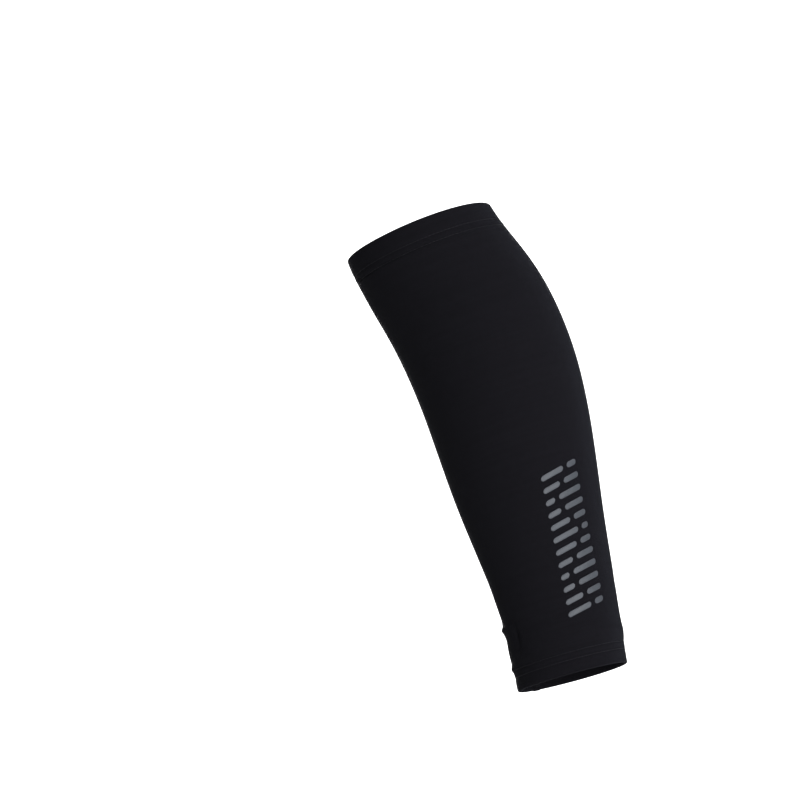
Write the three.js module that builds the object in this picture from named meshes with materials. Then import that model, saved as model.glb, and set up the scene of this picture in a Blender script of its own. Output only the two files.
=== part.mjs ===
// Calf compression sleeve, in the form that it takes on a right leg.
// A tapered tube of stretch knit with a turned hem at each end and one flat seam, open right through.
// Units are millimetres. +Z runs up the leg, +X to the back of the calf and +Y to the leg's outer side.
// The origin is the middle of the calf's fullest girth, where the sleeve grips the leg.

import * as THREE from 'three';

// The three girths that shape the sleeve, front to back and side to side, over the cloth
const KNEE_DEPTH = 104;
const KNEE_WIDTH = 97;
const CALF_DEPTH = 113;
const CALF_WIDTH = 106;
const ANKLE_DEPTH = 76;
const ANKLE_WIDTH = 71;

// Lengths up the leg
const SLEEVE_LENGTH = 320;
const CALF_HEIGHT = 240;
const TOP_HEM_HEIGHT = 18;
const BOTTOM_HEM_HEIGHT = 14;

// How far the calf lies behind the line between the two openings, and swells to its inner side
const CALF_SET_BACK = 17.5;
const CALF_INNER_SWELL = 2;

// Lean of each opening, up towards the back of the leg
const TOP_LEAN = THREE.MathUtils.degToRad(3);
const BOTTOM_LEAN = THREE.MathUtils.degToRad(-4);

// Cloth
const FABRIC_THICKNESS = 1.2;
const HEM_THICKNESS = 2.4;
const SEAM_WIDTH = 6;
const SEAM_THICKNESS = 0.7;
const SEAM_ANGLE = THREE.MathUtils.degToRad(135);
const CLEARANCE = 0.3;

// Relief: the dip along a row of hem stitches, the soft crown between, and the folds above the ankle
const STITCH_DIP = 0.5;
const STITCH_DIP_SPREAD = 2.5;
const ANKLE_PUFF = 0.8;
const ANKLE_PUFF_SPREAD = 7;
const FOLD_REACH = 2;

// Fineness of the faceted surface
const AROUND = 48;
const ANKLE_ROWS = 13;
const CALF_ROWS = 18;
const HEM_ROWS = 4;
const TURN_STEPS = 4;

// The leg from the ankle opening to the fullest girth. A row is one girth:
//   up      its height, as a share of CALF_HEIGHT
//   depth   how far its depth has grown from ANKLE_DEPTH to CALF_DEPTH
//   width   how far its width has grown from ANKLE_WIDTH to CALF_WIDTH
//   back    its share of CALF_SET_BACK
//   inner   its share of CALF_INNER_SWELL
//   shin    how much narrower its front is than its back, as a share of its width
const LOWER_LEG = [
  { up: 0.00, depth: 0.00, width: 0.00, back: 0.00, inner: 0.0, shin: 0.04 },
  { up: 0.12, depth: 0.03, width: 0.02, back: 0.27, inner: 0.0, shin: 0.04 },
  { up: 0.25, depth: 0.14, width: 0.12, back: 0.48, inner: 0.1, shin: 0.05 },
  { up: 0.40, depth: 0.37, width: 0.36, back: 0.60, inner: 0.4, shin: 0.06 },
  { up: 0.55, depth: 0.63, width: 0.62, back: 0.75, inner: 0.8, shin: 0.08 },
  { up: 0.70, depth: 0.83, width: 0.83, back: 0.92, inner: 1.0, shin: 0.09 },
  { up: 0.85, depth: 0.95, width: 0.96, back: 1.02, inner: 0.9, shin: 0.09 },
  { up: 1.00, depth: 1.00, width: 1.00, back: 0.91, inner: 0.4, shin: 0.09 },
];

// The leg from the fullest girth to the knee opening, with up as a share of what is left of the
// sleeve, and depth and width as how far they still are from KNEE_DEPTH and KNEE_WIDTH.
const UPPER_LEG = [
  { up: 0.23, depth: 1.02, width: 0.96, back: 0.77, inner: 0.0, shin: 0.09 },
  { up: 0.44, depth: 0.94, width: 0.82, back: 0.56, inner: -0.3, shin: 0.08 },
  { up: 0.64, depth: 0.70, width: 0.58, back: 0.32, inner: -0.4, shin: 0.07 },
  { up: 0.85, depth: 0.31, width: 0.25, back: 0.08, inner: -0.2, shin: 0.06 },
  { up: 1.00, depth: 0.00, width: 0.00, back: -0.04, inner: 0.0, shin: 0.06 },
];

// Soft folds where the cloth bunches above the ankle. A row is one fold:
//   up     the height of its middle, as a share of SLEEVE_LENGTH
//   turn   where it lies round the leg, as a share of a turn from the back towards the outer side
//   round  its spread round the leg, as a share of a turn
//   tall   its spread up the leg, as a share of SLEEVE_LENGTH
//   out    how far it stands out, as a share of FOLD_REACH
const FOLDS = [
  { up: 0.130, turn: 0.50, round: 0.070, tall: 0.011, out: 0.90 },
  { up: 0.100, turn: 0.59, round: 0.030, tall: 0.025, out: -0.35 },
  { up: 0.088, turn: 0.86, round: 0.060, tall: 0.010, out: 0.30 },
  { up: 0.105, turn: 0.16, round: 0.080, tall: 0.012, out: 0.50 },
  { up: 0.080, turn: 0.33, round: 0.060, tall: 0.010, out: 0.40 },
  { up: 0.985, turn: 0.50, round: 0.090, tall: 0.020, out: 0.30 },
];

// Share of the sleeve's length that the closer rows cover, up from the ankle
const FOLD_ZONE = 0.17;

const { lerp } = THREE.MathUtils;

// Girths in millimetres, as one smooth run up the leg
function makeGirths() {
  const lower = LOWER_LEG.map((row) => ({
    height: row.up * CALF_HEIGHT,
    depth: lerp(ANKLE_DEPTH, CALF_DEPTH, row.depth),
    width: lerp(ANKLE_WIDTH, CALF_WIDTH, row.width),
    row,
  }));
  const upper = UPPER_LEG.map((row) => ({
    height: lerp(CALF_HEIGHT, SLEEVE_LENGTH, row.up),
    depth: lerp(KNEE_DEPTH, CALF_DEPTH, row.depth),
    width: lerp(KNEE_WIDTH, CALF_WIDTH, row.width),
    row,
  }));
  const all = [...lower, ...upper];
  const heights = all.map((girth) => girth.height);
  const values = all.flatMap(({ depth, width, row }) => [
    depth,
    width,
    row.back * CALF_SET_BACK,
    row.inner * CALF_INNER_SWELL,
    row.shin,
  ]);
  const columns = values.length / all.length;
  return new THREE.CubicInterpolant(heights, values, columns, new Float64Array(columns));
}

const girths = makeGirths();

function girthAt(height) {
  const [depth, width, back, inner, shin] = girths.evaluate(height);
  return { depth, width, back, inner, shin };
}

// 1 at the middle of a bump, falling away smoothly over its spread
const bump = (distance, spread) => Math.exp(-((distance / spread) ** 2));

// Difference between two places round the leg, as a share of a turn, the short way
const turnBetween = (a, b) => Math.abs(a - b - Math.round(a - b));

// How far the cloth stands out from the smooth leg, round the leg and up it
function relief(angle, height) {
  const bottomStitches = BOTTOM_HEM_HEIGHT;
  const topStitches = SLEEVE_LENGTH - TOP_HEM_HEIGHT;
  let out = 0;
  for (const stitches of [bottomStitches, topStitches]) {
    out -= STITCH_DIP * bump(height - stitches, STITCH_DIP_SPREAD);
  }
  out += ANKLE_PUFF * bump(height - bottomStitches - ANKLE_PUFF_SPREAD, ANKLE_PUFF_SPREAD);
  const turn = angle / (2 * Math.PI);
  for (const fold of FOLDS) {
    const across = bump(turnBetween(turn, fold.turn), fold.round);
    const along = bump(height - fold.up * SLEEVE_LENGTH, fold.tall * SLEEVE_LENGTH);
    out += fold.out * FOLD_REACH * across * along;
  }
  return out;
}

// Rise of the cloth for each millimetre towards the back, from one opening's lean to the other's
function leanAt(height) {
  return lerp(Math.tan(BOTTOM_LEAN), Math.tan(TOP_LEAN), height / SLEEVE_LENGTH);
}

// A point in the wall: round the leg, up the sleeve, and inset from its outer face
function wallPoint(angle, height, inset) {
  const { depth, width, back, inner, shin } = girthAt(height);
  const cos = Math.cos(angle);
  const sin = Math.sin(angle);
  const x = back + (depth / 2) * cos;
  const y = -inner + (width / 2) * sin * (1 + shin * cos);
  const alongX = (-depth / 2) * sin;
  const alongY = (width / 2) * (cos + shin * (cos * cos - sin * sin));
  const outwards = new THREE.Vector2(alongY, -alongX).normalize();
  const out = relief(angle, height) - inset;
  return [x + outwards.x * out, y + outwards.y * out, height + leanAt(height) * x];
}

function solid(positions, index) {
  const geometry = new THREE.BufferGeometry();
  geometry.setAttribute('position', new THREE.Float32BufferAttribute(positions, 3));
  geometry.setIndex(index);
  geometry.computeVertexNormals();
  return geometry;
}

// The two triangles of one cell between a run of points and the next run
function pushCell(index, runStart, nextStart, from, to) {
  index.push(runStart + from, nextStart + from, nextStart + to);
  index.push(runStart + from, nextStart + to, runStart + to);
}

// A shell that goes right round the leg. Its section is a loop of heights and insets that climbs
// the outer face and comes down the inner one.
function shell(loop) {
  const positions = [];
  const index = [];
  for (let step = 0; step < AROUND; step++) {
    const angle = (2 * Math.PI * step) / AROUND;
    const runStart = step * loop.length;
    const nextStart = ((step + 1) % AROUND) * loop.length;
    loop.forEach(({ height, inset }, k) => {
      positions.push(...wallPoint(angle, height, inset));
      pushCell(index, runStart, nextStart, k, (k + 1) % loop.length);
    });
  }
  return solid(positions, index);
}

const evenly = (from, to, steps) =>
  Array.from({ length: steps + 1 }, (_, k) => lerp(from, to, k / steps));

// Row heights of each piece, from its lower to its upper edge
const bodyBottom = BOTTOM_HEM_HEIGHT + CLEARANCE / 2;
const bodyTop = SLEEVE_LENGTH - TOP_HEM_HEIGHT - CLEARANCE / 2;
const foldZoneTop = lerp(bodyBottom, bodyTop, FOLD_ZONE);
const bodyHeights = [
  ...evenly(bodyBottom, foldZoneTop, ANKLE_ROWS),
  ...evenly(foldZoneTop, bodyTop, CALF_ROWS).slice(1),
];
const turnRadius = HEM_THICKNESS / 2;
const bottomHemHeights = evenly(turnRadius, BOTTOM_HEM_HEIGHT - CLEARANCE / 2, HEM_ROWS);
const topHemHeights = evenly(
  SLEEVE_LENGTH - TOP_HEM_HEIGHT + CLEARANCE / 2,
  SLEEVE_LENGTH - turnRadius,
  HEM_ROWS,
);

// The tube between the hems
function calfBody() {
  const outer = bodyHeights.map((height) => ({ height, inset: 0 }));
  const inner = bodyHeights.map((height) => ({ height, inset: FABRIC_THICKNESS })).reverse();
  return shell([...outer, ...inner]);
}

// A hem of cloth turned under: two flat faces joined by a round turn at the opening's edge.
// away is 1 where the edge lies below the faces and -1 where it lies above them.
function hem(heights, away) {
  const outer = heights.map((height) => ({ height, inset: 0 }));
  const inner = heights.map((height) => ({ height, inset: HEM_THICKNESS })).reverse();
  const turnCentre = away > 0 ? heights[0] : heights[heights.length - 1];
  const turn = [];
  for (let step = 1; step < TURN_STEPS; step++) {
    const swing = (Math.PI * step) / TURN_STEPS;
    turn.push({
      height: turnCentre - away * turnRadius * Math.sin(swing),
      inset: turnRadius * (1 + away * Math.cos(swing)),
    });
  }
  return away > 0 ? shell([...outer, ...inner, ...turn]) : shell([...outer, ...turn, ...inner]);
}

// A flat seam that covers the join of the cloth on the outer face, from hem edge to hem edge
function flatSeam() {
  const crown = CLEARANCE + SEAM_THICKNESS;
  const section = [
    { across: -0.5, lift: CLEARANCE },
    { across: 0, lift: CLEARANCE },
    { across: 0.5, lift: CLEARANCE },
    { across: 0.35, lift: crown },
    { across: 0, lift: crown },
    { across: -0.35, lift: crown },
  ];
  const heights = [...bottomHemHeights, ...bodyHeights, ...topHemHeights];
  const positions = [];
  const index = [];
  heights.forEach((height, row) => {
    const { depth, width } = girthAt(height);
    const radius = (depth + width) / 4;
    section.forEach(({ across, lift }, k) => {
      const angle = SEAM_ANGLE + (across * SEAM_WIDTH) / radius;
      positions.push(...wallPoint(angle, height, -lift));
      if (row > 0) {
        const runStart = (row - 1) * section.length;
        pushCell(index, runStart, runStart + section.length, k, (k + 1) % section.length);
      }
    });
  });
  const last = (heights.length - 1) * section.length;
  for (let k = 1; k < section.length - 1; k++) {
    index.push(0, k, k + 1);
    index.push(last, last + k + 1, last + k);
  }
  return solid(positions, index);
}

const knit = new THREE.MeshStandardMaterial({ color: 0x1d1d20, roughness: 0.8, metalness: 0 });
const hemKnit = new THREE.MeshStandardMaterial({ color: 0x1f1f22, roughness: 0.8, metalness: 0 });
const thread = new THREE.MeshStandardMaterial({ color: 0x252528, roughness: 0.7, metalness: 0 });

function piece(name, geometry, material) {
  const mesh = new THREE.Mesh(geometry, material);
  mesh.name = name;
  return mesh;
}

const sleeve = new THREE.Group();
sleeve.add(
  piece('calf_body', calfBody(), knit),
  piece('top_hem', hem(topHemHeights, -1), hemKnit),
  piece('bottom_hem', hem(bottomHemHeights, 1), hemKnit),
  piece('flat_seam', flatSeam(), thread),
);

// Bring the middle of the fullest girth to the origin
const fullest = girthAt(CALF_HEIGHT);
sleeve.position.set(
  -fullest.back,
  fullest.inner,
  -(CALF_HEIGHT + leanAt(CALF_HEIGHT) * fullest.back),
);

export default sleeve;
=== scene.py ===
# %% [markdown]
# # A calf compression sleeve
# The sleeve is a tapered tube of black stretch knit, in the form that it takes on a leg.
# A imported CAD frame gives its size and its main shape, and this script loads that frame and
# never changes it. What is added here is the finish: fine cloth walls, turned hems, rows of
# stitches, a flat seam, a print and the materials. Lengths are in metres, +Z runs up the leg,
# +X to the back of the calf and +Y to the leg's outer side.

# %% Load the frame
import math

import bpy
import numpy as np
from mathutils import Matrix, Vector
from mathutils.bvhtree import BVHTree


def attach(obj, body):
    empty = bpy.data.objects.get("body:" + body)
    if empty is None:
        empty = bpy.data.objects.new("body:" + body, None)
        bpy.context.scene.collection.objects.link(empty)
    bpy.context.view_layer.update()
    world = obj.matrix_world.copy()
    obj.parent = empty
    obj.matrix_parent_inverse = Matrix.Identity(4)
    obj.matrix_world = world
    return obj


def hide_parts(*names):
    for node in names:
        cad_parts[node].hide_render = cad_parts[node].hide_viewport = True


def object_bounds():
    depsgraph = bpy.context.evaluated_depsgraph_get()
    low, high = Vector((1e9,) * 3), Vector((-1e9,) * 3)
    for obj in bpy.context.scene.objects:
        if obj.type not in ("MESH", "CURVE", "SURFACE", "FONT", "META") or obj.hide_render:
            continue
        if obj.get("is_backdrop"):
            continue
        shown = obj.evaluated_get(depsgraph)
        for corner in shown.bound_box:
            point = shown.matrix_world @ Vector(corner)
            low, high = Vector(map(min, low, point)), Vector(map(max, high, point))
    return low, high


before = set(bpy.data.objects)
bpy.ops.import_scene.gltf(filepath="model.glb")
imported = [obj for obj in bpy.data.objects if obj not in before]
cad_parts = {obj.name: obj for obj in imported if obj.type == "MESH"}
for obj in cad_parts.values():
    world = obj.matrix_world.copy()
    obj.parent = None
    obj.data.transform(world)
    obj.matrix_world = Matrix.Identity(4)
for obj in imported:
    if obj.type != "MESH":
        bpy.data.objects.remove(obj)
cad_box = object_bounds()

MM = 0.001
FULL_TURN = 2 * math.pi
WALL_NODES = ("bottom_hem", "calf_body", "top_hem")
print("CAD nodes:", sorted(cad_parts))

# %% [markdown]
# ## A height that follows the hems
# Neither opening is level: the cloth's rings lean one way at the knee and the other way at the
# ankle. A straight line through each hem's corners gives its lean, and between the hems the
# lean changes evenly. A height counted on the leaning rings is called a level here, and one
# level is one course of the knit, all the way round.


# %% Levels
def corners_of(node):
    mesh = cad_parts[node].data
    flat = np.empty(len(mesh.vertices) * 3)
    mesh.vertices.foreach_get("co", flat)
    return flat.reshape(-1, 3)


def line_through(node):
    """Rise per metre towards the back, and height at x = 0, of the ring that a hem makes."""
    x, _, z = corners_of(node).T
    return np.polyfit(x, z, 1)


LOW_LEAN, LOW_HEIGHT = line_through("bottom_hem")
HIGH_LEAN, HIGH_HEIGHT = line_through("top_hem")
LEAN_CHANGE = (HIGH_LEAN - LOW_LEAN) / (HIGH_HEIGHT - LOW_HEIGHT)
LEAN_AT_ORIGIN = LOW_LEAN - LEAN_CHANGE * LOW_HEIGHT


def lean_at(level):
    return LEAN_AT_ORIGIN + LEAN_CHANGE * level


def level_of(points):
    x, z = points[:, 0], points[:, 2]
    return (z - LEAN_AT_ORIGIN * x) / (1 + LEAN_CHANGE * x)


levels = {node: level_of(corners_of(node)) for node in WALL_NODES}
ANKLE_EDGE = levels["bottom_hem"].min()
ANKLE_LINE = (levels["bottom_hem"].max() + levels["calf_body"].min()) / 2
KNEE_LINE = (levels["calf_body"].max() + levels["top_hem"].min()) / 2
KNEE_EDGE = levels["top_hem"].max()
print(f"sleeve {(KNEE_EDGE - ANKLE_EDGE) / MM:.1f} mm long,",
      f"hems {(ANKLE_LINE - ANKLE_EDGE) / MM:.1f} and {(KNEE_EDGE - KNEE_LINE) / MM:.1f} mm high")

# %% [markdown]
# ## Measure the wall with rays
# The CAD wall is faceted, which is fine for collisions but would show as flats on soft cloth.
# Subdividing it would keep the flats' rhythm, so the wall is measured instead: rays run inwards
# from all round at every level, and their hits say how far the cloth stands from the sleeve's
# middle. BVHTree makes tens of thousands of rays quick.

# %% Rays
RAY_START = 0.15
CENTRE_STATIONS = 60
CENTRE_DEGREE = 6
HEM_RIM = 1.3 * MM
LINE_GAP = 0.5 * MM


def wall_tree():
    vertices, faces = [], []
    for node in WALL_NODES:
        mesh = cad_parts[node].data
        first = len(vertices)
        vertices.extend(corners_of(node).tolist())
        faces.extend([first + i for i in face.vertices] for face in mesh.polygons)
    return BVHTree.FromPolygons(vertices, faces)


TREE = wall_tree()


def ray_hit(centre_x, centre_y, level, angle):
    """Where a ray that runs inwards in the level's ring meets the outer face."""
    lean = lean_at(level)
    out = Vector((math.cos(angle), math.sin(angle), lean * math.cos(angle)))
    middle = Vector((centre_x, centre_y, level + lean * centre_x))
    hit = TREE.ray_cast(middle + out * RAY_START, -out.normalized())[0]
    return hit.x, hit.y


def probe_level(level):
    """The level moved off the rounded rims and off the joins between pieces."""
    level = min(max(level, ANKLE_EDGE + HEM_RIM), KNEE_EDGE - HEM_RIM)
    for line in (ANKLE_LINE, KNEE_LINE):
        if abs(level - line) < LINE_GAP:
            level = line + math.copysign(LINE_GAP, level - line)
    return level


def measure_centre():
    stations = np.linspace(ANKLE_EDGE, KNEE_EDGE, CENTRE_STATIONS)
    middles = []
    for level in stations:
        at = probe_level(level)
        back, front = (ray_hit(0, 0, at, a)[0] for a in (0, math.pi))
        x = (back + front) / 2
        outer, inner = (ray_hit(x, 0, at, a)[1] for a in (math.pi / 2, -math.pi / 2))
        middles.append((x, (outer + inner) / 2))
    fit = np.polynomial.Polynomial.fit
    return [fit(stations, column, CENTRE_DEGREE) for column in np.array(middles).T]


CENTRE_X, CENTRE_Y = measure_centre()
print(f"middle of the ankle ring {CENTRE_X(ANKLE_EDGE) / MM:.1f} mm, of the knee ring",
      f"{CENTRE_X(KNEE_EDGE) / MM:.1f} mm from the origin towards the back")

# %% [markdown]
# ## Turn the measurements into waves
# A girth is a closed loop, so its radius is a sum of a few waves round the leg, which a
# Fourier transform finds. Keeping only the longest waves leaves out the facets and keeps the
# leg. Up the leg, neighbouring girths are averaged: lightly above the ankle, where the cloth
# folds, and more strongly over the calf, where it is drawn smooth.

# %% Waves
RAYS_ROUND = 128
GIRTHS = 321
WAVES = 15
LIGHT_PASSES = 8
STRONG_PASSES = 140
FOLDS_END = 62 * MM
BLEND_LENGTH = 30 * MM

GIRTH_LEVELS = np.linspace(ANKLE_EDGE, KNEE_EDGE, GIRTHS)


def measure_radii():
    radii = np.empty((GIRTHS, RAYS_ROUND))
    for row, level in enumerate(GIRTH_LEVELS):
        x, y, at = CENTRE_X(level), CENTRE_Y(level), probe_level(level)
        for column in range(RAYS_ROUND):
            hit = ray_hit(x, y, at, FULL_TURN * column / RAYS_ROUND)
            radii[row, column] = math.hypot(hit[0] - x, hit[1] - y)
    return radii


def averaged(rows, passes):
    for _ in range(passes):
        padded = np.pad(rows, ((1, 1), (0, 0)), mode="reflect", reflect_type="odd")
        rows = (padded[:-2] + 2 * padded[1:-1] + padded[2:]) / 4
    return rows


def smooth_step(value):
    value = np.clip(value, 0, 1)
    return value * value * (3 - 2 * value)


measured = np.fft.rfft(measure_radii(), axis=1)[:, :WAVES] / RAYS_ROUND
calm = smooth_step((GIRTH_LEVELS - ANKLE_EDGE - FOLDS_END) / BLEND_LENGTH)[:, None]
light, strong = (averaged(measured, passes) for passes in (LIGHT_PASSES, STRONG_PASSES))
GIRTH_WAVES = light * (1 - calm) + strong * calm


def radius_at(turn, level):
    """Distance of the smooth wall from the sleeve's middle. turn is a share of a turn from the
    back of the leg towards its outer side."""
    place = np.clip((level - ANKLE_EDGE) / (KNEE_EDGE - ANKLE_EDGE) * (GIRTHS - 1), 0, GIRTHS - 1)
    row = np.minimum(place.astype(int), GIRTHS - 2)
    share = (place - row)[..., None]
    waves = GIRTH_WAVES[row] * (1 - share) + GIRTH_WAVES[row + 1] * share
    swing = np.exp(2j * math.pi * turn[..., None] * np.arange(WAVES))
    return 2 * (waves * swing).real.sum(-1) - waves[..., 0].real


print(f"{GIRTHS * RAYS_ROUND} rays, {WAVES} waves to a girth")

# %% [markdown]
# ## Small folds and puckers
# Stretched knit is nearly smooth. It creases a little where it bunches above the ankle, dips
# along each row of hem stitches, swells between them and puckers beside them. A short table
# holds the creases, one to a row, and formulas make the rest. The waviness has a fixed seed,
# so it is the same in each run.

# %% Creases
# up: height above the ankle edge; turn: place round the leg; round: spread, as a share of a turn;
# tall: spread up the leg; slant: rise over one whole turn; out: how far the crease stands out.
# All but turn and round are in millimetres.
CREASES = (
    # up, turn, round, tall, slant, out
    (34, -0.408, 0.0080, 10, 0, -0.75),
    (36, -0.440, 0.0160, 12, 0, 0.45),
    (43.5, -0.485, 0.0450, 1.7, 15, 1.00),
    (15.6, -0.485, 0.0550, 2.5, 0, 1.45),
    (30, -0.485, 0.0500, 7.5, 0, 0.90),
    (60, -0.485, 0.0600, 11, 0, 0.55),
    (26, -0.125, 0.0450, 1.4, 8, -0.26),
    (23, -0.050, 0.0500, 2.2, -10, 0.30),
    (46, -0.330, 0.0500, 2.4, -60, -0.16),
    (30, 0.080, 0.0600, 2.0, 25, -0.30),
    (41, 0.180, 0.0700, 2.6, 40, 0.28),
    (25, 0.270, 0.0500, 1.8, -20, -0.26),
    (36, 0.440, 0.0500, 2.4, 30, -0.30),
    (56, 0.020, 0.0700, 3.4, 15, -0.18),
)

# %% Needle rows, dips and puckers
ROW_SPACING = 5.0 * MM
STITCH_DIP = 0.16 * MM
STITCH_DIP_SPREAD = 1.3 * MM
HEM_SWELL = 0.10 * MM
HEM_SWELL_SPREAD = ROW_SPACING / 3
PUCKER = 0.08 * MM
PUCKER_REACH = 6 * MM
PUCKERS_ROUND = (47, 71, 89)
PUCKER_PHASES = 7
WAVINESS = 0.05 * MM
WAVINESS_SEED = 11
WAVINESS_TERMS = 10
SWELLS_ROUND = (1, 7)
SWELLS_UP = (-5, 5)

# Levels of each hem's two needle rows: one at the join of the pieces, one inside the hem
NEEDLE_ROWS = {
    "top_hem": (KNEE_LINE, KNEE_LINE + ROW_SPACING),
    "bottom_hem": (ANKLE_LINE, ANKLE_LINE - ROW_SPACING),
}


# %% Relief
def bump(distance, spread):
    return np.exp(-((distance / spread) ** 2))


def waviness(turn, level):
    """Long, faint swells that keep the cloth from looking machined."""
    draw = np.random.default_rng(WAVINESS_SEED)
    total = 0
    for _ in range(WAVINESS_TERMS):
        round_count = draw.integers(*SWELLS_ROUND)
        up_count = draw.uniform(*SWELLS_UP)
        phase = draw.uniform(0, 1)
        sway = round_count * turn + up_count * level / (KNEE_EDGE - ANKLE_EDGE) + phase
        total = total + np.sin(FULL_TURN * sway)
    return WAVINESS * total / math.sqrt(WAVINESS_TERMS)


def relief(turn, level):
    """How far the cloth stands out from the smooth leg."""
    total = waviness(turn, level)
    for up, crease_turn, spread, tall, slant, out in CREASES:
        away = turn - crease_turn
        away = away - np.round(away)
        rise = level - ANKLE_EDGE - up * MM - slant * MM * away
        total = total + out * MM * bump(away, spread) * bump(rise, tall * MM)
    for join, inner_row in NEEDLE_ROWS.values():
        for row in (join, inner_row):
            total = total - STITCH_DIP * bump(level - row, STITCH_DIP_SPREAD)
        total = total + HEM_SWELL * bump(level - (join + inner_row) / 2, HEM_SWELL_SPREAD)
        ripple = sum(np.sin(FULL_TURN * (n * turn + n / PUCKER_PHASES)) for n in PUCKERS_ROUND)
        pucker = PUCKER * ripple / len(PUCKERS_ROUND)
        total = total + pucker * np.exp(-np.abs(level - join) / PUCKER_REACH)
    return total


# %% [markdown]
# ## The sleeve's skin
# Everything made below lies on the cloth or in it. Two functions say where: skin gives the
# point of the outer face at a turn and a level, and wall a point any distance out from there,
# square to the cloth. They take whole NumPy arrays, so a mesh is one call.


# %% Skin
TURN_NUDGE = 2e-4
LEVEL_NUDGE = 0.08 * MM
RING_POINTS = 361


def skin(turn, level):
    turn, level = np.broadcast_arrays(turn, level)
    angle = FULL_TURN * turn
    radius = radius_at(turn, level) + relief(turn, level)
    x = CENTRE_X(level) + radius * np.cos(angle)
    y = CENTRE_Y(level) + radius * np.sin(angle)
    return np.stack([x, y, level + lean_at(level) * x], -1)


def round_the_leg(turn, level):
    return skin(turn + TURN_NUDGE, level) - skin(turn - TURN_NUDGE, level)


def up_the_leg(turn, level):
    return skin(turn, level + LEVEL_NUDGE) - skin(turn, level - LEVEL_NUDGE)


def outwards(turn, level):
    normal = np.cross(round_the_leg(turn, level), up_the_leg(turn, level))
    return normal / np.linalg.norm(normal, axis=-1, keepdims=True)


def wall(turn, level, out):
    turn, level, out = np.broadcast_arrays(turn, level, out)
    return skin(turn, level) + outwards(turn, level) * out[..., None]


def girth_at(level):
    ring = skin(np.linspace(0, 1, RING_POINTS), level)
    return np.linalg.norm(np.diff(ring, axis=0), axis=1).sum()


for name, level in (("ankle", ANKLE_EDGE), ("calf", 0.0), ("knee", KNEE_EDGE)):
    print(f"girth at the {name}: {girth_at(level) / MM:.0f} mm")

# %% [markdown]
# ## A shell that runs right round
# The body and both hems are the same kind of thing: a closed section, swept once round the
# leg. A section is a list of stops, each a level and a distance out. The function joins
# neighbouring stops with quads and writes a UV map: U is the share of a turn and V the metres
# along the cloth, so the knit can later follow the cloth anywhere.

# %% Shells
CLOTH_MAP = "cloth"


def add_object(name, data):
    """Puts a mesh, a lamp or a camera into the scene as an object at the origin."""
    made = bpy.data.objects.new(name, data)
    bpy.context.scene.collection.objects.link(made)
    return made


def new_piece(name, points, faces, uvs=None):
    """A smooth-shaded mesh object. uvs holds one pair for each corner of each face."""
    mesh = bpy.data.meshes.new(name)
    mesh.from_pydata(points.reshape(-1, 3).tolist(), [], faces)
    if uvs is not None:
        layer = mesh.uv_layers.new(name=CLOTH_MAP)
        layer.data.foreach_set("uv", np.asarray(uvs, dtype=np.float32).ravel())
    mesh.shade_smooth()
    return add_object(name, mesh)


def cloth_lengths(stops):
    """Length along the section up to each stop and back to the first, from the first's level."""
    closed = np.vstack([stops, stops[:1]])
    steps = np.linalg.norm(np.diff(closed, axis=0), axis=1)
    return stops[0, 0] + np.concatenate([[0], np.cumsum(steps)])


def shell(name, stops, columns, dimples=None):
    """stops is an array of (level, out) that climbs the outer face and comes down the inner one."""
    stops = np.asarray(stops)
    turns = np.arange(columns)[:, None] / columns
    out = stops[:, 1] + (dimples(turns, stops[:, 0]) if dimples else 0)
    points = wall(turns, stops[:, 0], out)
    count = len(stops)
    column, stop = (a.ravel() for a in np.meshgrid(range(columns), range(count), indexing="ij"))
    next_column, next_stop = (column + 1) % columns, (stop + 1) % count
    faces = np.stack([
        column * count + stop,
        next_column * count + stop,
        next_column * count + next_stop,
        column * count + next_stop,
    ], -1)
    lengths = cloth_lengths(stops)
    u = np.stack([column, column + 1, column + 1, column], -1) / columns
    v = lengths[np.stack([stop, stop, stop + 1, stop + 1], -1)]
    piece = new_piece(name, points, faces.tolist(), np.stack([u, v], -1))
    print(f"{name}: {2 * len(faces)} triangles")
    return piece


# %% [markdown]
# ## The body
# The body is one layer of knit, a little over a millimetre thick. Its rows lie close together
# above the ankle, where the creases are narrow, and further apart over the smooth calf. A
# Solidify modifier could give it a wall, but here the inner face is just more of the section.

# %% Body
KNIT_THICKNESS = 1.1 * MM
BODY_COLUMNS = 232
CREASED_ROWS = 72
SMOOTH_ROWS = 120

creased = np.linspace(ANKLE_LINE, ANKLE_EDGE + FOLDS_END, CREASED_ROWS)
smooth = np.linspace(ANKLE_EDGE + FOLDS_END, KNEE_LINE, SMOOTH_ROWS)[1:]
outer_levels = np.concatenate([creased, smooth])
outer_face = np.stack([outer_levels, np.zeros_like(outer_levels)], -1)
inner_face = np.stack([outer_levels[::-1], np.full_like(outer_levels, -KNIT_THICKNESS)], -1)
sleeve_body = shell("sleeve_body", np.vstack([outer_face, inner_face]), BODY_COLUMNS)

# %% [markdown]
# ## The hems
# At each opening the cloth is turned under once and sewn down, so a hem is two layers that
# meet in a round turn. Its section follows that fold: down one face, round half a circle and
# up the other. Its columns are close enough to show how every stitch pulls the cloth in.

# %% Hems
HEM_THICKNESS = 2.4 * MM
FOLD_RADIUS = HEM_THICKNESS / 2
HEM_COLUMNS = 672
HEM_ROWS = 26
INNER_ROWS = 12
FOLD_STEPS = 8
SEWN_SQUEEZE = 0.35 * MM
STITCHES_ROUND = {"top_hem": 112, "bottom_hem": 84}
DIMPLE = 0.10 * MM
DIMPLE_SPREAD = 0.8 * MM


def near_rows(node, level, spread):
    """1 on a hem's needle rows, and less away from them."""
    return sum(bump(level - row, spread) for row in NEEDLE_ROWS[node])


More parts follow.
